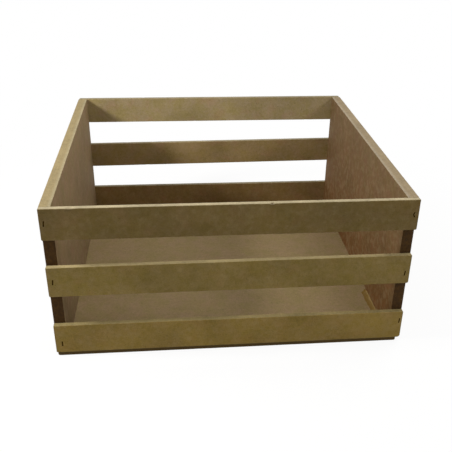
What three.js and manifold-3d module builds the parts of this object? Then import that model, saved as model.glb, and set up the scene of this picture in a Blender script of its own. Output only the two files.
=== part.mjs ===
import * as THREE from 'three';
import { mergeVertices } from 'three/addons/utils/BufferGeometryUtils.js';
import Module from 'manifold-3d';

// An open-topped crate of raw fibreboard. Two solid side panels carry three slats across the front and three
// across the back, lapped over the panels' edges, glued and held by one narrow-crown staple at each slat end.
// A thin base sheet is glued under the panels and the bottom slats and stapled to the panels from below.
// Millimetres. +X is to the right of someone facing the front, -Y is the front and +Z is up.
// The origin is the middle of the footprint, on the surface that the crate stands on.

// Overall size
const crateWidth = 380; // along the slats
const crateDepth = 372; // over the outer faces of the front and back slats
const wallHeight = 170.5; // of the side panels, and from the lowest slat edge to the highest

// Side panels
const panelThickness = 12;
const panelCornerRadius = 1.2;

// Slats
const slatThickness = 6;
const slatHeight = 34.5;
const slatUpperCornerRadius = 1.2; // sawn square and just broken
const slatLowerCornerRadius = 2.2; // rubbed round
const frontLowerGap = 36.5; // between the bottom and the middle slat, at mid-length
const backLowerGap = 35;
const frontMiddleTilt = 0.15; // degrees that the middle slat is out of level, right end up
const backMiddleTilt = 0.45;

// Base sheet, fixed on a little to the left of centre
const baseThickness = 4;
const baseLeftInset = 1; // from the slat ends
const baseRightInset = 4;
const baseFaceInset = 0.2; // from the outer faces of the slats
const baseCornerRadius = 3;

// Sanded edges and glued joints
const boardEase = 0.8; // rounding along the edges of panels and slats
const baseEase = 0.3;
const glueLine = 0.1; // film of glue between two boards

// Staples, of flattened wire with chisel points
const crownWidth = 5.8; // over the two legs
const wireThickness = 1; // of the crown along the legs, and of a leg along the crown
const wireWidth = 1.25; // across the plane of the staple
const wireEase = 0.2; // rounding along the wire
const shoulderRadius = 0.7; // bend between the crown and a leg
const pointLength = 1.6;
const slatStapleLength = 20; // from the crown to the points
const baseStapleLength = 14;
const slatStapleSink = 0.7; // of the crown below the face of the board
const baseStapleSink = 0.4;
const stapleClearance = 0.2; // of the pocket round the wire
const pocketMouth = 1; // by which a pocket is cut past the face of the board
const baseStaplesPerSide = 4;
const baseStapleEnd = 45; // from the ends of a panel to its outermost base staples

// How each front staple was driven by hand: the shift of its crown outwards from the middle of the panel's
// edge, its rise above the slat's mid-height, and its lean to the right in degrees, as seen from outside.
// The back has the same six, turned round.
const drivenStaples = {
  top: { left: { shift: 1.6, rise: 1.4, lean: 7 }, right: { shift: 1.5, rise: 0.6, lean: -3 } },
  middle: { left: { shift: 0.3, rise: 0.3, lean: 7 }, right: { shift: 0.6, rise: -4.6, lean: 7 } },
  bottom: { left: { shift: -1.4, rise: -6, lean: 0 }, right: { shift: 2.6, rise: 5.3, lean: 5 } },
};

// Colours of the raw boards and of the staples' dulled wire
const slatColour = '#6e5c38';
const panelColour = '#6b543a';
const baseColour = '#74624a';
const steelColour = '#5e5347';

// Facets on each rounded corner and along each rounded edge
const boardFacets = { curveSegments: 4, bevelSegments: 2 };
const wireFacets = { curveSegments: 3, bevelSegments: 1 };

// Places that several pieces share
const panelDepth = crateDepth - 2 * (slatThickness + glueLine);
const panelMiddle = crateWidth / 2 - panelThickness / 2;
const panelInnerFace = crateWidth / 2 - panelThickness;
const wallBottom = baseThickness + glueLine;

const leftToRight = [
  { name: 'left', sign: -1 },
  { name: 'right', sign: 1 },
];
const walls = [
  { name: 'front', sign: -1, lowerGap: frontLowerGap, middleTilt: frontMiddleTilt },
  { name: 'back', sign: 1, lowerGap: backLowerGap, middleTilt: backMiddleTilt },
];

// Quarter turns that swap axes exactly: a board drawn flat is stood up across the crate or along it
const acrossCrate = new THREE.Matrix4().set(1, 0, 0, 0, 0, 0, -1, 0, 0, 1, 0, 0, 0, 0, 0, 1);
const alongCrate = new THREE.Matrix4().set(0, 0, 1, 0, 1, 0, 0, 0, 0, 1, 0, 0, 0, 0, 0, 1);

const wasm = await Module();
wasm.setup();

function toSolid(geometry) {
  const bare = geometry.clone();
  bare.deleteAttribute('normal');
  bare.deleteAttribute('uv');
  const welded = mergeVertices(bare);
  return new wasm.Manifold(new wasm.Mesh({
    numProp: 3,
    vertProperties: welded.attributes.position.array,
    triVerts: Uint32Array.from(welded.index.array),
  }));
}

function toGeometry(solid) {
  const { vertProperties, triVerts } = solid.getMesh();
  const geometry = new THREE.BufferGeometry();
  geometry.setAttribute('position', new THREE.BufferAttribute(vertProperties, 3));
  geometry.setIndex(new THREE.BufferAttribute(triVerts, 1));
  geometry.computeVertexNormals();
  return geometry;
}

function roundedRectangle(length, width, upper, lower = upper) {
  const right = length / 2;
  const top = width / 2;
  const outline = new THREE.Shape();
  outline.absarc(right - upper, top - upper, upper, 0, Math.PI / 2);
  outline.absarc(upper - right, top - upper, upper, Math.PI / 2, Math.PI);
  outline.absarc(lower - right, lower - top, lower, Math.PI, 1.5 * Math.PI);
  outline.absarc(right - lower, lower - top, lower, 1.5 * Math.PI, 2 * Math.PI);
  outline.closePath();
  return outline;
}

// Extrudes an outline by a thickness about its own plane, with its edges rounded inside the outline
function easedPlate(outline, thickness, ease, { curveSegments, bevelSegments }) {
  const core = thickness - 2 * ease;
  const plate = new THREE.ExtrudeGeometry(outline, {
    depth: core,
    curveSegments,
    bevelThickness: ease,
    bevelSize: ease,
    bevelOffset: -ease,
    bevelSegments,
  });
  return plate.translate(0, 0, -core / 2);
}

function fibreboard(name, geometry, color) {
  const material = new THREE.MeshStandardMaterial({ color, roughness: 0.88, metalness: 0 });
  const board = new THREE.Mesh(geometry, material);
  board.name = name;
  return board;
}

function sidePanel(side) {
  const outline = roundedRectangle(panelDepth, wallHeight, panelCornerRadius);
  const geometry = easedPlate(outline, panelThickness, boardEase, boardFacets).applyMatrix4(alongCrate);
  const panel = fibreboard(`${side.name}_side_panel`, geometry, panelColour);
  panel.position.set(side.sign * panelMiddle, 0, wallBottom + wallHeight / 2);
  return panel;
}

function slat(wall, row, lowerEdge, tilt) {
  const outline = roundedRectangle(crateWidth, slatHeight, slatUpperCornerRadius, slatLowerCornerRadius);
  const geometry = easedPlate(outline, slatThickness, boardEase, boardFacets).applyMatrix4(acrossCrate);
  const board = fibreboard(`${wall.name}_slat_${row}`, geometry, slatColour);
  board.position.set(0, wall.sign * (crateDepth - slatThickness) / 2, lowerEdge + slatHeight / 2);
  board.rotation.y = -THREE.MathUtils.degToRad(tilt);
  board.updateMatrix();
  return board;
}

function baseSheet() {
  const width = crateWidth - baseLeftInset - baseRightInset;
  const outline = roundedRectangle(width, crateDepth - 2 * baseFaceInset, baseCornerRadius);
  const geometry = easedPlate(outline, baseThickness, baseEase, boardFacets);
  const base = fibreboard('base_panel', geometry, baseColour);
  base.position.set((baseLeftInset - baseRightInset) / 2, 0, baseThickness / 2);
  return base;
}

// The staple in its own plane: the crown along X with its outer face on Z = 0, and the legs down -Z
function stapleOutline(length) {
  const half = crownWidth / 2;
  const inner = half - wireThickness;
  const tip = half - wireThickness / 2;
  const shoulder = half - shoulderRadius;
  const pointStart = pointLength - length;
  const outline = new THREE.Shape();
  outline.absarc(shoulder, -shoulderRadius, shoulderRadius, 0, Math.PI / 2);
  outline.absarc(-shoulder, -shoulderRadius, shoulderRadius, Math.PI / 2, Math.PI);
  outline.lineTo(-half, pointStart);
  outline.lineTo(-tip, -length);
  outline.lineTo(-inner, pointStart);
  outline.lineTo(-inner, -wireThickness);
  outline.lineTo(inner, -wireThickness);
  outline.lineTo(inner, pointStart);
  outline.lineTo(tip, -length);
  outline.lineTo(half, pointStart);
  outline.closePath();
  return outline;
}

function staple(name, length) {
  const flat = easedPlate(stapleOutline(length), wireWidth, wireEase, wireFacets);
  const geometry = flat.applyMatrix4(acrossCrate);
  const material = new THREE.MeshStandardMaterial({ color: steelColour, roughness: 0.5, metalness: 0.8 });
  const wire = new THREE.Mesh(geometry, material);
  wire.name = name;
  return wire;
}

// What a driven staple clears away: its own form with clearance, open through the face of the board
function staplePocket(length, sink) {
  const half = crownWidth / 2 + stapleClearance;
  const inner = crownWidth / 2 - wireThickness - stapleClearance;
  const mouth = sink + pocketMouth;
  const underCrown = -wireThickness - stapleClearance;
  const bottom = -length - stapleClearance;
  const outline = new THREE.Shape();
  outline.moveTo(half, mouth);
  outline.lineTo(-half, mouth);
  outline.lineTo(-half, bottom);
  outline.lineTo(-inner, bottom);
  outline.lineTo(-inner, underCrown);
  outline.lineTo(inner, underCrown);
  outline.lineTo(inner, bottom);
  outline.lineTo(half, bottom);
  outline.closePath();
  const width = wireWidth + 2 * stapleClearance;
  const tool = new THREE.ExtrudeGeometry(outline, { depth: width, bevelEnabled: false });
  return tool.translate(0, 0, -width / 2).applyMatrix4(acrossCrate);
}

// Places a staple at a point on a board's face, with its crown along a direction in that face
function drive(wire, facePoint, outward, along, sink) {
  const across = new THREE.Vector3().crossVectors(outward, along);
  wire.quaternion.setFromRotationMatrix(new THREE.Matrix4().makeBasis(along, across, outward));
  wire.position.copy(facePoint).addScaledVector(outward, -sink);
}

function cutPocket(board, wire, tool) {
  board.updateMatrix();
  wire.updateMatrix();
  const intoBoard = board.matrix.clone().invert().multiply(wire.matrix);
  const pocket = toSolid(tool.clone().applyMatrix4(intoBoard));
  board.geometry = toGeometry(toSolid(board.geometry).subtract(pocket));
}

const crate = new THREE.Group();
const base = baseSheet();
const panels = leftToRight.map(sidePanel);
crate.add(base, ...panels);

// Front and back walls
const slatTool = staplePocket(slatStapleLength, slatStapleSink);
for (const wall of walls) {
  const rows = {
    bottom: { lowerEdge: wallBottom, tilt: 0 },
    middle: { lowerEdge: wallBottom + slatHeight + wall.lowerGap, tilt: wall.middleTilt },
    top: { lowerEdge: wallBottom + wallHeight - slatHeight, tilt: 0 },
  };
  const outward = new THREE.Vector3(0, wall.sign, 0);
  for (const [row, { lowerEdge, tilt }] of Object.entries(rows)) {
    const board = slat(wall, row, lowerEdge, tilt);
    crate.add(board);
    leftToRight.forEach((side, index) => {
      const seenFromOutside = side.sign * wall.sign < 0 ? 'right' : 'left';
      const { shift, rise, lean } = drivenStaples[row][seenFromOutside];
      const leanAngle = THREE.MathUtils.degToRad(lean);
      const along = new THREE.Vector3(-wall.sign * Math.sin(leanAngle), 0, Math.cos(leanAngle));
      const endwise = side.sign * (panelMiddle + shift);
      const facePoint = new THREE.Vector3(endwise, wall.sign * slatThickness / 2, rise);
      facePoint.applyMatrix4(board.matrix);
      const wire = staple(`${wall.name}_staple_${row}_${side.name}`, slatStapleLength);
      drive(wire, facePoint, outward, along, slatStapleSink);
      cutPocket(board, wire, slatTool);
      cutPocket(panels[index], wire, slatTool);
      crate.add(wire);
    });
  }
}

// Base staples, driven up into each panel where the base sheet lies under it
const baseTool = staplePocket(baseStapleLength, baseStapleSink);
const baseStaplePitch = (panelDepth - 2 * baseStapleEnd) / (baseStaplesPerSide - 1);
const downward = new THREE.Vector3(0, 0, -1);
const alongPanel = new THREE.Vector3(0, 1, 0);
leftToRight.forEach((side, index) => {
  const baseInset = side.sign < 0 ? baseLeftInset : baseRightInset;
  const lapMiddle = (panelInnerFace + crateWidth / 2 - baseInset) / 2;
  for (let i = 0; i < baseStaplesPerSide; i += 1) {
    const fromFront = baseStapleEnd + i * baseStaplePitch;
    const facePoint = new THREE.Vector3(side.sign * lapMiddle, fromFront - panelDepth / 2, 0);
    const wire = staple(`base_staple_${side.name}_${i + 1}`, baseStapleLength);
    drive(wire, facePoint, downward, alongPanel, baseStapleSink);
    cutPocket(base, wire, baseTool);
    cutPocket(panels[index], wire, baseTool);
    crate.add(wire);
  }
});

export default crate;
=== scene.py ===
import math

import bpy
from mathutils import Matrix, Vector


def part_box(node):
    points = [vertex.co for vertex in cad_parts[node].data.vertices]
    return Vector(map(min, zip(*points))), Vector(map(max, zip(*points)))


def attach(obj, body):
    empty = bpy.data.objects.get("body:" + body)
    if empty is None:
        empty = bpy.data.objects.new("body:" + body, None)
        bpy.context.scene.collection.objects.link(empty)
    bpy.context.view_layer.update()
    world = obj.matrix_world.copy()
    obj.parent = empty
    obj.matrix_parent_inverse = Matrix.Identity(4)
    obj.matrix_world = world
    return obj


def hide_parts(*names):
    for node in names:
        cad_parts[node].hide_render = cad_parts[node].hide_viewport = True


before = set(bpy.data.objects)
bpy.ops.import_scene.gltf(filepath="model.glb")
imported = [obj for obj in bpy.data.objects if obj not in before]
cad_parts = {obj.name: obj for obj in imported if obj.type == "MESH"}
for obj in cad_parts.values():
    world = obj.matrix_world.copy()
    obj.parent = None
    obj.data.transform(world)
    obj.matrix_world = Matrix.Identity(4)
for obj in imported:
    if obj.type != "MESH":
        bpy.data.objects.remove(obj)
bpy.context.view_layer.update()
scene = bpy.context.scene
mm = 0.001
tiny = 1e-9  # least length that anything is divided by
print("frame:", len(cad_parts), "solids")


def operator(operation, swapped=False):  # adds a Math node for a Python operator
    def apply(self, other):
        pair = (other, self) if swapped else (self, other)
        return self.math(operation, *pair)
    return apply


class Wire:  # one socket of a node tree; sums on it become Math nodes
    def __init__(self, tree, socket=None):
        self.tree = tree
        self.socket = socket

    def node(self, kind, settings=None, sockets=None, out=0):
        made = self.tree.nodes.new(kind)
        for name, value in (settings or {}).items():
            setattr(made, name, value)
        for name, value in (sockets or {}).items():
            if isinstance(value, Wire):
                self.tree.links.new(value.socket, made.inputs[name])
            else:
                made.inputs[name].default_value = value
        return Wire(self.tree, made.outputs[out] if made.outputs else None)

    def out(self, name):
        return Wire(self.tree, self.socket.node.outputs[name])

    def math(self, operation, *values):
        return self.node("ShaderNodeMath", {"operation": operation}, dict(enumerate(values)))

    def __neg__(self):
        return self.math("MULTIPLY", self, -1.0)

    def __abs__(self):
        return self.math("ABSOLUTE", self)

    __add__ = operator("ADD")
    __radd__ = operator("ADD", swapped=True)
    __sub__ = operator("SUBTRACT")
    __rsub__ = operator("SUBTRACT", swapped=True)
    __mul__ = operator("MULTIPLY")
    __rmul__ = operator("MULTIPLY", swapped=True)
    __truediv__ = operator("DIVIDE")
    __rtruediv__ = operator("DIVIDE", swapped=True)
    __pow__ = operator("POWER")
    __lt__ = operator("LESS_THAN")
    __gt__ = operator("GREATER_THAN")


def least(a, b):
    return a.math("MINIMUM", a, b)


def most(a, b):
    return a.math("MAXIMUM", a, b)


def sign(a):
    return a.math("SIGN", a)


def within(a, limit):
    return most(least(a, limit), -limit)


def reach(*parts):  # length of a vector with these parts
    squares = sum(part * part for part in parts)
    return squares.math("SQRT", squares)


def ramp(value, low, high):  # 0 below low, 1 above high, smooth between
    return value.node("ShaderNodeMapRange", {"interpolation_type": "SMOOTHSTEP"},
                      {"Value": value, "From Min": low, "From Max": high})


def noise(w, place, size, seed=0.0, detail=2.0, rough=0.5):  # about 0.5, in patches of that size in mm
    return w.node("ShaderNodeTexNoise", {"noise_dimensions": "4D"}, {
        "Vector": place, "W": seed, "Scale": 1 / (size * mm), "Detail": detail, "Roughness": rough})


def split(vector):
    parts = vector.node("ShaderNodeSeparateXYZ", None, {"Vector": vector})
    return parts.out("X"), parts.out("Y"), parts.out("Z")


def join(w, x, y, z):
    return w.node("ShaderNodeCombineXYZ", None, {"X": x, "Y": y, "Z": z})


def scaled(vector, factor):
    return vector.node("ShaderNodeVectorMath", {"operation": "SCALE"}, {"Vector": vector, "Scale": factor})


def tinted(vector, tint):
    return vector.node("ShaderNodeVectorMath", {"operation": "MULTIPLY"}, {0: vector, 1: tint})


def blend(factor, a, b):  # colours
    return factor.node("ShaderNodeMix", {"data_type": "RGBA"}, {0: factor, 6: a, 7: b}, out=2)


def mixed(factor, a, b):  # vectors
    return factor.node("ShaderNodeMix", {"data_type": "VECTOR"}, {0: factor, 4: a, 5: b}, out=1)


def colour(code):  # "#rrggbb" as the linear numbers that a socket takes
    parts = [int(code[i:i + 2], 16) / 255 for i in (1, 3, 5)]
    return (*[c / 12.92 if c <= 0.04045 else ((c + 0.055) / 1.055) ** 2.4 for c in parts], 1.0)


def newShape(name, inputs):  # a geometry tree with these named inputs
    tree = bpy.data.node_groups.new(name, "GeometryNodeTree")
    tree.interface.new_socket("Geometry", in_out="INPUT", socket_type="NodeSocketGeometry")
    tree.interface.new_socket("Geometry", in_out="OUTPUT", socket_type="NodeSocketGeometry")
    for label, kind in inputs.items():
        tree.interface.new_socket(label, in_out="INPUT", socket_type="NodeSocket" + kind)
    start = Wire(tree).node("NodeGroupInput")
    return tree, {label: start.out(label) for label in ("Geometry", *inputs)}


sharpest = 38  # degrees between faces that still shade as one


def closeShape(w, shape, place, turn, material, keep=None):  # smooth faces, set in place, one plain mesh
    shape = w.node("GeometryNodeSetShadeSmooth", {"domain": "FACE"},
                   {"Geometry": shape, "Shade Smooth": True})
    crease = w.node("GeometryNodeInputMeshEdgeAngle") > math.radians(sharpest)
    shape = w.node("GeometryNodeSetShadeSmooth", {"domain": "EDGE"},
                   {"Geometry": shape, "Selection": crease, "Shade Smooth": False})
    turn = w.node("FunctionNodeEulerToRotation", None, {"Euler": turn})
    shape = w.node("GeometryNodeTransform", None,
                   {"Geometry": shape, "Translation": place, "Rotation": turn})
    shape = w.node("GeometryNodeRealizeInstances", None, {"Geometry": shape})
    sockets = {"Geometry": shape, "Material": material}
    if keep:  # faces that have this material already hold on to it
        kept = w.node("GeometryNodeMaterialSelection", None, {"Material": keep})
        sockets["Selection"] = w.node("FunctionNodeBooleanMath", {"operation": "NOT"}, {0: kept})
    shape = w.node("GeometryNodeSetMaterial", None, sockets)
    w.node("NodeGroupOutput", None, {"Geometry": shape})


def position(w):
    return w.node("GeometryNodeInputPosition")


def moved(w, shape, place):
    return w.node("GeometryNodeSetPosition", None, {"Geometry": shape, "Position": place})


def store(w, shape, name, value, kind="FLOAT"):
    return w.node("GeometryNodeStoreNamedAttribute", {"data_type": kind, "domain": "POINT"},
                  {"Geometry": shape, "Name": name, "Value": value})


def stored(w, name, kind):
    return w.node("GeometryNodeInputNamedAttribute", {"data_type": kind}, {"Name": name})


def makePiece(name, tree, inputs, seats=()):  # seats: (place, turn, bend) of each staple in the board
    mesh = bpy.data.meshes.new(name)
    mesh.from_pydata([place for place, turn, bend in seats], [], [])
    mesh.attributes.new("turn", "FLOAT_VECTOR", "POINT")
    mesh.attributes.new("bend", "FLOAT", "POINT")
    for i, (place, turn, bend) in enumerate(seats):
        mesh.attributes["turn"].data[i].vector = turn
        mesh.attributes["bend"].data[i].value = bend
    piece = bpy.data.objects.new(name, mesh)
    scene.collection.objects.link(piece)
    shape = piece.modifiers.new("shape", "NODES")
    shape.node_group = tree
    for item in tree.interface.items_tree:
        if item.in_out == "INPUT" and item.name in inputs:
            shape[item.identifier] = inputs[item.name]
    graph = bpy.context.evaluated_depsgraph_get()
    made = bpy.data.meshes.new_from_object(piece.evaluated_get(graph), preserve_all_data_layers=True,
                                           depsgraph=graph)
    piece.modifiers.remove(shape)
    if made.materials[0] is None:  # the points that a board starts from have no material
        used = [face.material_index - 1 for face in made.polygons]
        made.materials.pop(index=0)
        made.polygons.foreach_set("material_index", used)
    piece.data = made
    made.name = name
    bpy.data.meshes.remove(mesh)
    return piece


def startMaterial(name):
    material = bpy.data.materials.new(name)
    material.use_nodes = True
    material.node_tree.nodes.clear()
    return material, Wire(material.node_tree)


def finishMaterial(w, settings):
    surface = w.node("ShaderNodeBsdfPrincipled", None, settings)
    w.node("ShaderNodeOutputMaterial", None, {"Surface": surface})


def objectPlace(w):
    return w.node("ShaderNodeTexCoord").out("Object")


def readAttribute(w, name, part="Fac"):
    return w.node("ShaderNodeAttribute", {"attribute_name": name}).out(part)


def fibreboard(name, look):
    material, w = startMaterial(name)
    place = objectPlace(w)
    marks = ("edge", "core", "stain", "torn", "blush")
    edge, core, stain, torn, blush = (readAttribute(w, mark) for mark in marks)
    tint = readAttribute(w, "tint", "Vector")
    rim = readAttribute(w, "rim", "Vector")
    cloud = noise(w, place, look["cloud"], seed=3.1, detail=4, rough=0.6)
    clump = noise(w, place, look["clump"], seed=7.7, detail=4, rough=0.6)
    fibre = noise(w, place, look["fibre"], seed=1.9, detail=3, rough=0.65)
    fleck = noise(w, place, look["fleck"], seed=9.2, detail=1, rough=0.4)
    drift = noise(w, place, look["cloud"] * 3, seed=4.6)
    rosy = noise(w, place, look["cloud"], seed=8.4, detail=3)
    rubbed = noise(w, place, look["rub"], seed=2.2, detail=3)
    sanded = noise(w, tinted(place, look["sanding"]), 1.0, seed=5.3, detail=3, rough=0.55)
    sawLines = noise(w, tinted(place, look["sawing"]), 1.0, seed=6.1, detail=3, rough=0.6)

    # pressed faces, then sawn edges with a softer core
    patchy = ramp(cloud * 0.6 + clump * 0.4, 0.38, 0.62)
    face = blend(patchy, colour(look["face"]), colour(look["patch"]))
    face = blend(blush * ramp(rosy, 0.5, 0.68), face, colour(look["rosy"]))
    face = tinted(blend(ramp(fleck, 0.64, 0.76) * look["flecks"], face, colour(look["dark"])), tint)
    inCore = ramp(core + (sawLines - 0.5) * 0.5, 0.1, 0.6)
    sawn = blend(inCore, colour(look["shell"]), colour(look["core"]))
    sawn = scaled(tinted(sawn, rim), 1 + (sawLines - 0.5) * look["kerf"])
    skin = blend(ramp(edge, 0.15, 0.85), face, sawn)

    # rubbed arrises, painted shade on the ends of the boards, the chip
    worn = edge * (1 - edge) * 4 * ramp(rubbed, 0.42, 0.66)
    skin = blend(worn * look["wear"] * (1 - stain), skin, colour(look["worn"]))
    darkEndShade = blend(ramp(clump, 0.35, 0.65), colour(look["darkEndShade"]), colour(look["paleEndShade"]))
    skin = blend(stain * ramp(clump, 0.05, 0.38), skin, darkEndShade)
    # torn fibre in the chip and the dent, made dark partly as painted shade in the notch
    skin = blend(torn * ramp(fibre, 0.3, 0.55), skin, colour(look["torn"]))

    shade = 1 + (clump + cloud - 1) * look["mottle"] + (fibre - 0.5) * look["grain"]
    shade = shade + (drift - 0.5) * look["drift"] + (sanded - 0.5) * look["streak"] * (1 - edge)
    height = fibre * 0.6 + clump * 0.4 + sanded * 0.3
    normal = w.node("ShaderNodeBump", None,
                    {"Strength": look["bump"], "Distance": look["nap"] * mm, "Height": height})
    finishMaterial(w, {"Base Color": scaled(skin, shade), "Normal": normal, "Specular IOR Level": 0.3,
                       "Roughness": look["rough"] + (fibre - 0.5) * 0.2 + edge * 0.08})
    return material


# colours of the faces, of the sawn edges and of what marks them, then patterns in mm and strengths;
# sanding and sawing stretch a pattern of 1 mm along X, Y and Z
slatLook = {"face": "#8a763a", "patch": "#867244", "rosy": "#926d46", "dark": "#5c4924",
            "shell": "#9f9272", "core": "#aa9c7b", "worn": "#a1916a", "torn": "#3e2b08",
            # the next two colours darken the ends of the boards: painted shade
            "darkEndShade": "#463a26", "paleEndShade": "#5a4a30",
            "cloud": 16, "clump": 4, "fibre": 1.1, "fleck": 1.6, "rub": 6, "nap": 0.25,
            "sanding": (0.03, 0.5, 0.5), "sawing": (0.04, 1.0, 1.0),
            "mottle": 0.58, "grain": 0.8, "drift": 0.75, "streak": 0.14, "kerf": 0.2, "flecks": 0.45,
            "wear": 0.5, "bump": 0.35, "rough": 0.8}
panelLook = dict(slatLook, face="#7b6846", patch="#79614a", rosy="#805a3c", dark="#503d25",
                 # the last two colours on the next line darken the panel ends: painted shade
                 shell="#968765", core="#8b7953", worn="#9a8a66", darkEndShade="#3c2503", paleEndShade="#482f08",
                 sanding=(1.2, 1.2, 0.08), sawing=(1.0, 0.04, 1.0),
                 mottle=0.5, grain=1.0, drift=0.45, streak=0.06, kerf=0.35)
baseLook = dict(slatLook, face="#88784e", patch="#877355", rosy="#8c7053", dark="#5c4c31",
                shell="#57441b", core="#4c3a15", worn="#6a5330", sanding=(0.03, 0.6, 0.6),
                mottle=0.42, grain=0.75, drift=0.2, streak=0.2, wear=0.3)
slatBoard = fibreboard("slat fibreboard", slatLook)
panelBoard = fibreboard("panel fibreboard", panelLook)
baseBoard = fibreboard("base hardboard", baseLook)

# the pocket walls are dark partly as crushed fibre and partly as painted shade inside the slot
pocketLook = {"deep": "#362302", "loose": "#583f0c", "tear": 0.5, "rough": 0.85}


def crushedFibre():  # walls of a staple pocket
    material, w = startMaterial("crushed fibre")
    torn = noise(w, objectPlace(w), pocketLook["tear"], seed=4.0, detail=4, rough=0.7)
    wall = blend(ramp(torn, 0.3, 0.7), colour(pocketLook["deep"]), colour(pocketLook["loose"]))
    finishMaterial(w, {"Base Color": wall, "Roughness": pocketLook["rough"] + (torn - 0.5) * 0.2,
                       "Specular IOR Level": 0.03})
    return material


steelLook = {"drawn": "#4e3804", "tarnished": "#312001", "stain": 2.2, "scratch": 0.35,
             "metal": 0.4, "rough": 0.55}


def stapleSteel():  # wire gone brown
    material, w = startMaterial("staple steel")
    place = objectPlace(w)
    tarnish = ramp(noise(w, place, steelLook["stain"], seed=6.0, detail=4, rough=0.65), 0.42, 0.62)
    scratch = noise(w, place, steelLook["scratch"], seed=8.0)
    wire = blend(tarnish, colour(steelLook["drawn"]), colour(steelLook["tarnished"]))
    finishMaterial(w, {"Base Color": wire, "Metallic": steelLook["metal"] - tarnish * 0.25,
                       "Roughness": steelLook["rough"] + tarnish * 0.2 + (scratch - 0.5) * 0.12,
                       "Specular IOR Level": 0.03})
    return material


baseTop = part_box("base_panel")[1].z
# thinTo and thickFrom: mm above the base
glueLook = {"thin": "#6b5014", "thick": "#846b3c", "thinTo": 0.9, "thickFrom": 1.6,
            "cure": 5, "rough": 0.45}


def driedGlue():  # darker where it thins out over the base
    material, w = startMaterial("dried glue")
    place = objectPlace(w)
    cured = noise(w, place, glueLook["cure"], seed=2.0, detail=3)
    thick = ramp(split(place)[2] + (cured - 0.5) * mm,
                 baseTop + glueLook["thinTo"] * mm, baseTop + glueLook["thickFrom"] * mm)
    finishMaterial(w, {"Base Color": blend(thick, colour(glueLook["thin"]), colour(glueLook["thick"])),
                       "Roughness": glueLook["rough"] + (cured - 0.5) * 0.2, "Specular IOR Level": 0.2})
    return material


pocketFibre = crushedFibre()
wireSteel = stapleSteel()
glue = driedGlue()
print("finishes:", len(bpy.data.materials))


# every board is one tree: length along X, thickness along Y with its outer face at -Y, height along Z
boardLengths = ("Length", "Height", "Thickness", "Upper Radius", "Lower Radius", "Left Radius",
                "Arris", "Wander", "Wear", "End Shade Reach", "Chip Place", "Chip Depth", "Chip Width",
                "Dent Place", "Dent Depth", "Dent Width", "Pocket Length", "Pocket Width", "Pocket Depth")
boardInputs = {**dict.fromkeys((*boardLengths, "Seed", "End Shade", "Blush"), "Float"),
               **dict.fromkeys(("Tint", "Back Tint", "Foot Shade", "Rim", "Place", "Turn"), "Vector"),
               **dict.fromkeys(("Length Steps", "Height Steps", "Thickness Steps"), "Int"),
               **dict.fromkeys(("Board", "Pocket"), "Material")}
# steps of a board's grid round a corner and over an arris, which has a zone of so many arris radii
grid = {"cornerSteps": 7, "arrisSteps": 4, "arrisZone": 1.6, "crowding": 1.6}
# patches in mm, then the least arris and its swing in shares of its size, and the dip of the faces
unevenness = {"arris": 14, "rub": 6, "saw": 38, "face": 24, "chip": 1.5,
              "arrisLeast": 0.35, "arrisSwing": 1.2, "dip": 0.02}
pocketForm = {"sides": 24, "rings": 3, "cuts": 2, "above": 0.5, "flare": 0.12, "mouth": (-0.3, 0.15),
              "tear": 0.5, "narrowest": 0.85, "ragged": 0.3}
tearing = {"inward": 2.6, "down": 1.7, "full": 1.2}  # reach of torn fibre, and the depth that tears it all
coreAt = 0.3  # how far the softer core lies behind the middle, in shares of half the thickness


def spread(step, count, half, zone, zoneSteps):  # grid steps to places, closer together near both ends
    last = (count - 1) / 2
    fromEnd = last - abs(step)
    near = zone * (fromEnd / zoneSteps) ** grid["crowding"]
    far = zone + (fromEnd - zoneSteps) * ((half - zone) / (last - zoneSteps))
    atEnd = fromEnd < zoneSteps
    return sign(step) * (half - (near * atEnd + far * (1 - atEnd)))


def pocketTool(w, i):  # a slot with a flared, torn mouth, crown along X and the board's face at Z 0
    drum = w.node("GeometryNodeMeshCylinder", {"fill_type": "NGON"}, {
        "Vertices": pocketForm["sides"], "Side Segments": pocketForm["rings"], "Radius": 1.0, "Depth": 1.0})
    x, y, z = split(position(w))
    depth = (z + 0.5) * (i["Pocket Depth"] + pocketForm["above"] * mm) - i["Pocket Depth"]
    low, high = pocketForm["mouth"]
    flare = 1 + ramp(depth, low * mm, high * mm) * pocketForm["flare"]
    torn = noise(w, join(w, x * mm, y * mm, depth), pocketForm["tear"], i["Seed"])
    ragged = pocketForm["narrowest"] + pocketForm["ragged"] * torn
    side = i["Pocket Width"] / 2
    end = sign(x) * (i["Pocket Length"] / 2 - side)
    slot = moved(w, drum, join(w, x * side * flare * ragged + end, y * side * flare * ragged, depth))
    slot = w.node("GeometryNodeSubdivideMesh", None, {"Mesh": slot, "Level": pocketForm["cuts"]})
    return w.node("GeometryNodeSetMaterial", None, {"Geometry": slot, "Material": i["Pocket"]})


def cutPockets(w, i, board):  # one at each of the object's own points
    points = store(w, i["Geometry"], "seat", position(w), "FLOAT_VECTOR")
    turn = w.node("FunctionNodeEulerToRotation", None, {"Euler": stored(w, "turn", "FLOAT_VECTOR")})
    pockets = w.node("GeometryNodeInstanceOnPoints", None,
                     {"Points": points, "Instance": pocketTool(w, i), "Rotation": turn})
    pockets = w.node("GeometryNodeRealizeInstances", None, {"Geometry": pockets})
    fromSeat = w.node("ShaderNodeVectorMath", {"operation": "SUBTRACT"},
                      {0: position(w), 1: stored(w, "seat", "FLOAT_VECTOR")})
    along = split(fromSeat)[2] / (i["Pocket Length"] / 2)
    kink = stored(w, "bend", "FLOAT") * most(abs(along) - 1, -1)
    pockets = w.node("GeometryNodeSetPosition", None,
                     {"Geometry": pockets, "Offset": join(w, kink, 0.0, 0.0)})
    return w.node("GeometryNodeMeshBoolean", {"operation": "DIFFERENCE", "solver": "MANIFOLD"},
                  {"Mesh 1": board, "Mesh 2": pockets})


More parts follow.
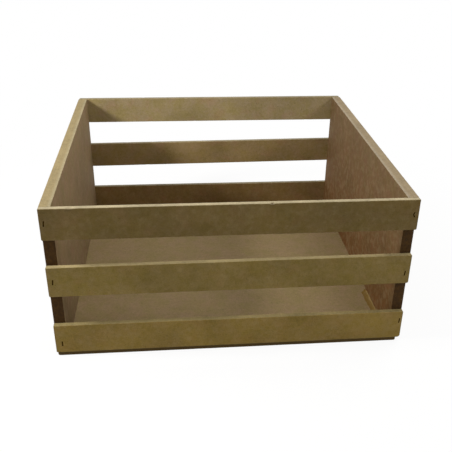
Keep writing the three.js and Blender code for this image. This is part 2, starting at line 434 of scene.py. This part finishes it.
def markBoard(w, i, board):  # what the finish reads
    half = i["Thickness"] / 2
    x, y, z = split(position(w))
    fromEnd = i["Length"] / 2 - abs(x)
    board = store(w, board, "edge", least(most((half - abs(y)) / (i["Arris"] * 1.1), 0), 1))
    board = store(w, board, "core", 1 - abs(y / half - coreAt) / (1 + coreAt))
    # ends of each board darkened over a short reach: painted shade on the end faces and on the panel ends
    # recessed between the slats
    board = store(w, board, "stain", i["End Shade"] * ramp(fromEnd, i["End Shade Reach"], i["End Shade Reach"] * 0.4))
    inward = (y + half) / (tearing["inward"] * mm)
    down = (z - i["Height"] / 2) / (tearing["down"] * mm)
    tears = []
    for mark in ("Chip", "Dent"):
        aside = (x - i[mark + " Place"]) / i[mark + " Width"]
        near = ramp(reach(aside, inward, down), 1.5, 0.8)
        tears.append(near * least(i[mark + " Depth"] / (tearing["full"] * mm), 1))
    board = store(w, board, "torn", most(*tears))
    board = store(w, board, "blush", i["Blush"])
    board = store(w, board, "rim", i["Rim"], "FLOAT_VECTOR")
    # the face tints paint the light and shade that fall on each board, and the lower part is made darker
    # towards the bottom as painted shade
    outer = tinted(i["Tint"], mixed(0.5 + z / i["Height"], i["Foot Shade"], (1, 1, 1)))
    tint = mixed(ramp(y, -0.2 * half, 0.2 * half), outer, i["Back Tint"])
    return store(w, board, "tint", tint, "FLOAT_VECTOR")


def boardShape():
    tree, i = newShape("fibreboard piece", boardInputs)
    w = Wire(tree)
    half = i["Thickness"] / 2
    stepsX, stepsY, stepsZ = i["Length Steps"], i["Thickness Steps"], i["Height Steps"]
    cube = w.node("GeometryNodeMeshCube", None, {
        "Size": join(w, stepsX - 1, stepsY - 1, stepsZ - 1),
        "Vertices X": stepsX, "Vertices Y": stepsY, "Vertices Z": stepsZ})
    stepX, stepY, stepZ = split(position(w))
    corner = i["Lower Radius"] + (stepX < 0) * (i["Left Radius"] - i["Lower Radius"])
    corner = corner + (stepZ > 0) * (i["Upper Radius"] - corner)
    x = spread(stepX, stepsX, i["Length"] / 2, corner, grid["cornerSteps"])
    y = spread(stepY, stepsY, half, i["Arris"] * grid["arrisZone"], grid["arrisSteps"])
    z = spread(stepZ, stepsZ, i["Height"] / 2, corner, grid["cornerSteps"])

    # rounded outline: offsets from an inner rectangle, turned from square rings into round ones
    innerX = within(x, i["Length"] / 2 - corner)
    innerZ = within(z, i["Height"] / 2 - corner)
    offX = x - innerX
    offZ = z - innerZ
    off = most(reach(offX, offZ), tiny)
    ring = most(abs(offX), abs(offZ))

    # sanded arris of uneven radius, with rubbed spots
    place = join(w, x, y, z)
    ripple = noise(w, place, unevenness["arris"], i["Seed"], detail=3)
    rubbed = noise(w, place, unevenness["rub"], i["Seed"] + 11, detail=1)
    arris = i["Arris"] * (unevenness["arrisLeast"] + unevenness["arrisSwing"] * ripple)
    arris = least(arris + i["Wear"] * ramp(rubbed, 0.6, 0.78), corner * 0.96)
    outward = most(arris - (corner - ring), 0)
    upward = most(arris - (half - abs(y)), 0)
    rounding = arris / most(reach(outward, upward), tiny)
    onArris = (outward > 0) * (upward > 0)
    ring = ring + onArris * (corner - arris + outward * rounding - ring)
    level = abs(y) + onArris * (half - arris + upward * rounding - abs(y))

    # the saw wandered a little, and the faces aren't dead flat
    ring = ring - i["Wander"] * noise(w, place, unevenness["saw"], i["Seed"] + 5, detail=3) * ring / corner
    level = level * (1 - unevenness["dip"] * noise(w, place, unevenness["face"], i["Seed"] + 8))

    # one chip knocked out of the upper outer arris, and a shallower dent
    bites = []
    for mark in ("Chip", "Dent"):
        ragged = noise(w, place, unevenness["chip"], i["Seed"] + 3) - 0.5
        aside = (x - i[mark + " Place"]) / i[mark + " Width"] + ragged
        bites.append(i[mark + " Depth"] / (1 + aside ** 4))
    onTop = z > i["Height"] / 2 - 1.05 * corner
    bite = most(*bites) * ramp(y, 0.2 * half, -0.7 * half) * onTop

    placed = join(w, innerX + offX / off * ring, sign(y) * level, innerZ + offZ / off * ring - bite)
    board = moved(w, cube, placed)
    board = w.node("GeometryNodeSetMaterial", None, {"Geometry": board, "Material": i["Board"]})
    board = markBoard(w, i, cutPockets(w, i, board))
    closeShape(w, board, i["Place"], i["Turn"], i["Board"], i["Pocket"])
    return tree


boardTree = boardShape()


def middle(node):
    low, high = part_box(node)
    return (low + high) / 2


def across(node):  # its width, depth and height in mm
    low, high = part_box(node)
    return (high - low) / mm


# for boards that don't say otherwise: no chip, narrow-crown staples, an even tint
usual = {"Chip Width": 1, "Dent Width": 1, "Pocket Length": 6.2, "Pocket Width": 1.32, "Pocket Depth": 1.9,
         "Rim": (1, 1, 1), "Foot Shade": (1, 1, 1), "End Shade Reach": 1}


def makeBoard(name, node, place, turn, sizes, seats=()):
    inputs = {**usual, **sizes}
    inputs = {key: value * mm if key in boardLengths else value for key, value in inputs.items()}
    inputs.update({"Place": place, "Turn": turn.to_euler(), "Pocket": pocketFibre})
    board = makePiece(name, boardTree, inputs, seats)
    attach(board, "root")
    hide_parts(node)


def stapleTurn(lean):  # crown along a board's height, leaning to the right, legs inwards
    along = Vector((math.sin(math.radians(lean)), 0, math.cos(math.radians(lean))))
    outward = Vector((0, -1, 0))
    return Matrix((along, outward.cross(along), outward)).transposed()


staples = []  # filled as the boards are made
buckled = {"front_staple_top_right": 1.3}  # the one crown that bent, by how many mm


def driveStaple(name, node, board, place, turn, lean):  # gives its seat in the board
    seat = turn.inverted() @ (middle(node) - place)
    seat.y = -board["Thickness"] / 2 * mm
    lie = stapleTurn(lean)
    bend = buckled.get(node, 0)
    staples.append({"name": name, "node": node, "place": place + turn @ seat, "turn": turn @ lie,
                    "bend": bend, "leg": board["leg"], "sink": board["sink"]})
    return seat, lie.to_euler(), bend * mm


slatSize = across("front_slat_top")
# a board's sizes are in mm; leg and sink are those of its staples
slat = {"Length": slatSize.x, "Height": slatSize.z, "Thickness": slatSize.y, "Arris": 0.5,
        "Wander": 0.2, "Wear": 0.6, "End Shade": 0.4, "End Shade Reach": 1.0, "Board": slatBoard,
        "Length Steps": 384, "Height Steps": 26, "Thickness Steps": 12, "leg": 20, "sink": 0.7}
knocked = {"Chip Place": 38, "Chip Depth": 1.3, "Chip Width": 2.2,
           "Dent Place": -160, "Dent Depth": 0.6, "Dent Width": 3.2}
# lean of the staples in degrees as driven, seen from outside, at the left and the right end
driven = {"top": (7, -3), "middle": (7, 7), "bottom": (0, 5)}
# tilt: degrees out of level; upper and lower: corner radii, the lower ones left and right
# blush: strength of rosy patches; rim: tint of the sawn edges; outer and inner: tints of the two faces
# the front's outer tints, the back's inner tints and the rims are painted light and shade: the front slats
# lighter downwards, the back slats darker downwards and bluish at the top, and the sawn edges darker on all
# but the top front slat
walls = {
    "front": {
        "turn": Matrix.Identity(3), "ends": ("left", "right"), "tilt": {"middle": 0.15},
        "upper": 0.9, "blush": 0.15,
        "lower": {"top": (1.6, 1.6), "middle": (1.5, 1.9), "bottom": (0.9, 3.0)},
        "rim": {"top": (0.92, 0.92, 0.93), "middle": (0.74, 0.69, 0.53), "bottom": (0.56, 0.51, 0.33)},
        "outer": {"top": (0.69, 0.64, 0.605), "middle": (0.955, 0.93, 0.82), "bottom": (1.14, 1.06, 0.845)},
        "inner": {"top": (0.98, 0.95, 0.97), "middle": (1.03, 1.0, 1.02), "bottom": (0.97, 0.94, 0.92)}},
    "back": {
        "turn": Matrix.Rotation(math.pi, 3, "Z"), "ends": ("right", "left"), "tilt": {"middle": 0.45},
        "upper": 2.4, "blush": 0.3,
        "lower": {"top": (1.0, 1.0), "middle": (1.0, 1.0), "bottom": (1.0, 1.0)},
        "rim": {"top": (0.6, 0.6, 0.6), "middle": (0.7, 0.7, 0.7), "bottom": (0.6, 0.6, 0.6)},
        "outer": {"top": (1.05, 1.03, 1.1), "middle": (0.98, 0.97, 1.0), "bottom": (1.02, 0.98, 0.96)},
        "inner": {"top": (1.32, 1.42, 2.3), "middle": (1.07, 1.035, 1.4), "bottom": (0.84, 0.72, 0.81)}},
}
seed = 1.0
for wall, at in walls.items():
    for row, leans in driven.items():
        node = f"{wall}_slat_{row}"
        place = middle(node)
        turn = Matrix.Rotation(-math.radians(at["tilt"].get(row, 0)), 3, "Y") @ at["turn"]
        seats = []
        for end, lean in zip(at["ends"], leans):
            name = f"{wall}{row.title()}{end.title()}Staple"
            seats.append(driveStaple(name, f"{wall}_staple_{row}_{end}", slat, place, turn, lean))
        left, right = at["lower"][row]
        sizes = {**slat, "Seed": seed, "Tint": at["outer"][row], "Back Tint": at["inner"][row],
                 "Rim": at["rim"][row], "Blush": at["blush"], "Upper Radius": at["upper"],
                 "Left Radius": left, "Lower Radius": right}
        if node == "front_slat_top":
            sizes.update(knocked)
        makeBoard(f"{wall}{row.title()}Slat", node, place, turn, sizes, seats)
        seed += 1.37
print("slats:", len(walls) * len(driven))

panelSize = across("left_side_panel")
panel = {"Length": panelSize.y, "Height": panelSize.z, "Thickness": panelSize.x, "Arris": 0.6,
         "Upper Radius": 1.5, "Lower Radius": 1.5, "Left Radius": 1.5,
         "Wander": 0.2, "Wear": 0.4, "End Shade": 1.0, "End Shade Reach": 0.6, "Board": panelBoard,
         "Length Steps": 200, "Height Steps": 90, "Thickness Steps": 18}
# the panels' inner faces lie at -Y in the tree; inner: tint of that face, painted light on the left panel
# and painted shade on the right one; foot: tint of their lower part, painted shade that darkens them
# towards the bottom; rim: tint of the sawn edges, painted light that makes them paler and bluer
sides = {
    "left": {"turn": 90, "inner": (1.2, 1.21, 1.12), "footShade": (0.65, 0.615, 0.56),
             "outer": (1.0, 0.98, 0.93), "rim": (1.03, 1.06, 1.11), "blush": 0.2},
    "right": {"turn": -90, "inner": (0.76, 0.68, 0.52), "footShade": (0.7, 0.46, 0.14),
              "outer": (0.96, 0.92, 0.86), "rim": (1.02, 1.04, 1.32), "blush": 0.15},
}
for side, at in sides.items():
    node = f"{side}_side_panel"
    sizes = {**panel, "Seed": seed, "Tint": at["inner"], "Foot Shade": at["footShade"], "Back Tint": at["outer"],
             "Rim": at["rim"], "Blush": at["blush"]}
    turn = Matrix.Rotation(math.radians(at["turn"]), 3, "Z")
    makeBoard(f"{side}Panel", node, middle(node), turn, sizes)
    seed += 2.11
print("panels:", len(sides))

baseSize = across("base_panel")
base = {"Length": baseSize.x, "Height": baseSize.y, "Thickness": baseSize.z, "Arris": 0.3,
        "Upper Radius": 3, "Lower Radius": 3, "Left Radius": 3, "Wander": 0.2, "Wear": 0.2,
        "Board": baseBoard, "Tint": (0.92, 0.88, 0.82), "Back Tint": (1.034, 1.005, 0.969), "Blush": 0.2,
        "Pocket Depth": 1.5,
        "Length Steps": 130, "Height Steps": 130, "Thickness Steps": 11, "leg": 14, "sink": 0.4}
underside = Matrix.Rotation(math.pi / 2, 3, "X")
place = middle("base_panel")
seats = []
for side in sides:
    for number in range(1, 5):
        name = f"base{side.title()}Staple{number}"
        seats.append(driveStaple(name, f"base_staple_{side}_{number}", base, place, underside, 0))
makeBoard("baseSheet", "base_panel", place, underside, {**base, "Seed": seed}, seats)
print("base sheet done")


wireSizes = {"Crown Width": 5.8, "Wire Thickness": 1.0, "Wire Width": 1.25, "Wire Rounding": 0.22,
             "Shoulder": 0.5, "Point Length": 1.6}
wireInputs = {**dict.fromkeys((*wireSizes, "Leg Length", "Bend"), "Float"),
              **dict.fromkeys(("Place", "Turn"), "Vector"), "Steel": "Material"}
wireStep = 0.5  # mm between rings of the wire
pointWidth = 0.12  # share of the wire that is left at a point


def stapleShape():
    tree, i = newShape("staple", wireInputs)
    w = Wire(tree)
    thick = i["Wire Thickness"]
    legs = (i["Crown Width"] - thick) / 2
    path = w.node("GeometryNodeMeshLine", {"mode": "OFFSET"}, {"Count": 4})
    number = w.node("GeometryNodeInputIndex")
    onTip = (number < 0.5) + (number > 2.5)
    side = (number > 1.5) * 2 - 1
    path = moved(w, path, join(w, side * legs, 0.0, -thick / 2 - onTip * (i["Leg Length"] - thick / 2)))
    path = w.node("GeometryNodeMeshToCurve", None, {"Mesh": path})
    path = w.node("GeometryNodeFilletCurve", {"mode": "POLY"},
                  {"Curve": path, "Count": 5, "Radius": i["Shoulder"]})
    path = w.node("GeometryNodeResampleCurve", {"mode": "LENGTH"}, {"Curve": path, "Length": wireStep * mm})
    section = w.node("GeometryNodeCurvePrimitiveQuadrilateral", {"mode": "RECTANGLE"},
                     {"Width": thick, "Height": i["Wire Width"]})
    section = w.node("GeometryNodeFilletCurve", {"mode": "POLY"},
                     {"Curve": section, "Count": 2, "Radius": i["Wire Rounding"]})
    wire = w.node("GeometryNodeCurveToMesh", None,
                  {"Curve": path, "Profile Curve": section, "Fill Caps": True})

    # chisel points, and a crown that the driver may have bent
    x, y, z = split(position(w))
    taper = least(most((z + i["Leg Length"]) / i["Point Length"], pointWidth), 1)
    onLeg = z < -2 * thick
    pinched = sign(x) * (legs + (abs(x) - legs) * taper)
    along = x / (i["Crown Width"] / 2)
    kink = i["Bend"] * (1 - abs(along)) * (z > -1.5 * thick)
    wire = moved(w, wire, join(w, pinched * onLeg + x * (1 - onLeg), y + kink, z))
    closeShape(w, wire, i["Place"], i["Turn"], i["Steel"])
    return tree


stapleTree = stapleShape()
for at in staples:
    sizes = {**wireSizes, "Leg Length": at["leg"], "Bend": at["bend"]}
    inputs = {key: value * mm for key, value in sizes.items()}
    outward = at["turn"] @ Vector((0, 0, 1))
    place = at["place"] - outward * at["sink"] * mm
    inputs.update({"Place": place, "Turn": at["turn"].to_euler(), "Steel": wireSteel})
    staple = makePiece(at["name"], stapleTree, inputs)
    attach(staple, "root")
    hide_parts(at["node"])
print("staples:", len(staples))


# glue squeezed out of the joint between the base and the right panel, from one Y to another;
# tail, neck and bulge are shares of the radius
bead = {"from": -160, "to": -84, "radius": 1.3, "tail": 0.15, "neck": 0.25, "bulge": 1.2, "swell": 9,
        "skirt": 3.0, "film": 0.9, "clear": 0.02, "inset": (0.5, 0.4), "seed": 4.0,
        "step": 0.8, "sides": 12, "merge": 0.03}
beadInputs = {**dict.fromkeys(("Start", "End"), "Vector"),
              **dict.fromkeys(("Radius", "Skirt", "Wall", "Floor", "Seed"), "Float"), "Glue": "Material"}


def beadShape():
    tree, i = newShape("glue bead", beadInputs)
    w = Wire(tree)
    path = w.node("GeometryNodeCurvePrimitiveLine", None, {"Start": i["Start"], "End": i["End"]})
    path = w.node("GeometryNodeResampleCurve", {"mode": "LENGTH"},
                  {"Curve": path, "Length": bead["step"] * mm})
    part = w.node("GeometryNodeSplineParameter").out("Factor")
    ends = ramp(part, 0.0, 0.08) * ramp(part, 1.0, 0.9)
    swell = noise(w, position(w), bead["swell"], i["Seed"], detail=3)
    size = i["Radius"] * (bead["tail"] + ends * (bead["neck"] + bead["bulge"] * swell))
    section = w.node("GeometryNodeCurvePrimitiveCircle", {"mode": "RADIUS"},
                     {"Resolution": bead["sides"], "Radius": 1.0})
    tube = w.node("GeometryNodeCurveToMesh", None,
                  {"Curve": path, "Profile Curve": section, "Scale": size, "Fill Caps": True})

    # pressed against the panel and the base, with a thin film spread over the base
    x, y, z = split(position(w))
    x = least(x, i["Wall"])
    z = most(z, i["Floor"])
    film = 1 + i["Skirt"] * ramp(z - i["Floor"], bead["film"] * mm, 0.0)
    tube = moved(w, tube, join(w, i["Wall"] - (i["Wall"] - x) * film, y, z))
    tube = w.node("GeometryNodeMergeByDistance", None, {"Geometry": tube, "Distance": bead["merge"] * mm})
    closeShape(w, tube, (0, 0, 0), (0, 0, 0), i["Glue"])
    return tree


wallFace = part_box("right_side_panel")[0].x - bead["clear"] * mm
floorFace = baseTop + bead["clear"] * mm
aside, above = bead["inset"]
start = Vector((wallFace - aside * mm, bead["from"] * mm, floorFace + above * mm))
end = Vector((start.x, bead["to"] * mm, start.z))
glueBead = makePiece("glueBead", beadShape(), {
    "Start": start, "End": end, "Radius": bead["radius"] * mm, "Skirt": bead["skirt"],
    "Wall": wallFace, "Floor": floorFace, "Seed": bead["seed"], "Glue": glue})
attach(glueBead, "root")
print("glue bead done")


# place in mm, turns in degrees
camera = {"place": (-58.9, -788.16, 456.84), "yaw": -6.4765, "pitch": -28.8472, "roll": -1.3047,
          "lens": 53.925, "sensor": 36, "shift": (-0.0376, 0.0531)}
lens = bpy.data.cameras.new("camera")
lens.lens = camera["lens"]
lens.sensor_width = camera["sensor"]
lens.shift_x, lens.shift_y = camera["shift"]
lens.clip_start = 0.01
lens.clip_end = 50
eye = bpy.data.objects.new("camera", lens)
scene.collection.objects.link(eye)
level = Matrix.Rotation(math.pi / 2, 3, "X")
yaw = Matrix.Rotation(math.radians(camera["yaw"]), 3, "Z")
pitch = Matrix.Rotation(math.radians(camera["pitch"]), 3, "X")
roll = Matrix.Rotation(math.radians(camera["roll"]), 3, "Y")
aim = yaw @ pitch @ roll @ level
eye.matrix_world = Matrix.Translation(Vector(camera["place"]) * mm) @ aim.to_4x4()
scene.camera = eye

# places and sizes in metres, power in watts
lamps = {
    "leftLamp": {"place": (-0.75, -0.18, 0.574), "size": 0.13, "power": 6.9},
    "rightLamp": {"place": (1.1, -0.45, 0.985), "size": 0.3, "power": 5.6},
    "upperLamp": {"place": (0.6, 0.3, 1.3), "size": 0.5, "power": 5.6},
    "backLamp": {"place": (0, 0.9, 1.5), "size": 0.8, "power": 1.0},
}
lampTarget = Vector((0, 0, 0.1))
for name, lit in lamps.items():
    light = bpy.data.lights.new(name, "AREA")
    light.shape = "SQUARE"
    light.size = lit["size"]
    light.energy = lit["power"]
    lamp = bpy.data.objects.new(name, light)
    lamp.location = lit["place"]
    lamp.rotation_euler = (lampTarget - lamp.location).to_track_quat("-Z", "Y").to_euler()
    lamp.visible_camera = False
    scene.collection.objects.link(lamp)
print("camera and lamps:", 1 + len(lamps))

# near and far: metres from the middle between which the floor fades to white; half: half its width
surround = {"light": 0.41, "floor": "#f6f5f2", "bounce": 0.46, "glow": 0.9,
            "near": 0.22, "far": 0.6, "half": 8}
pureWhite = (1, 1, 1, 1)


def seenStraight(w):  # 1 for what the camera, metal and glass see, 0 for light on the object
    rays = w.node("ShaderNodeLightPath")
    shiny = most(rays.out("Is Camera Ray"), rays.out("Is Glossy Ray"))
    return most(shiny, rays.out("Is Transmission Ray"))


world = bpy.data.worlds.new("surround")
scene.world = world
world.use_nodes = True
world.node_tree.nodes.clear()
w = Wire(world.node_tree)
dim = w.node("ShaderNodeBackground", None, {"Color": pureWhite, "Strength": surround["light"]})
white = w.node("ShaderNodeBackground", None, {"Color": pureWhite, "Strength": 1.0})
backdrop = w.node("ShaderNodeMixShader", None, {0: seenStraight(w), 1: dim, 2: white})
w.node("ShaderNodeOutputWorld", None, {"Surface": backdrop})

floorMesh = bpy.data.meshes.new("floor")
half = surround["half"]
floorCorners = [(-half, -half, 0), (half, -half, 0), (half, half, 0), (-half, half, 0)]
floorMesh.from_pydata(floorCorners, [], [(0, 1, 2, 3)])
floor = bpy.data.objects.new("floor", floorMesh)
scene.collection.objects.link(floor)
paper, w = startMaterial("floor paper")
away = reach(*split(objectPlace(w)))
fade = surround["glow"] + (1 - surround["glow"]) * ramp(away, surround["near"], surround["far"])
matt = w.node("ShaderNodeBsdfDiffuse", None, {"Color": colour(surround["floor"])})
glow = w.node("ShaderNodeEmission", None, {"Color": pureWhite, "Strength": 1.0})
pale = w.node("ShaderNodeMixShader", None, {0: fade, 1: matt, 2: glow})
grey = w.node("ShaderNodeBsdfDiffuse", None, {"Color": (*[surround["bounce"]] * 3, 1)})
sheet = w.node("ShaderNodeMixShader", None, {0: seenStraight(w), 1: grey, 2: pale})
w.node("ShaderNodeOutputMaterial", None, {"Surface": sheet})
floorMesh.materials.append(paper)

scene.view_settings.view_transform = "Standard"
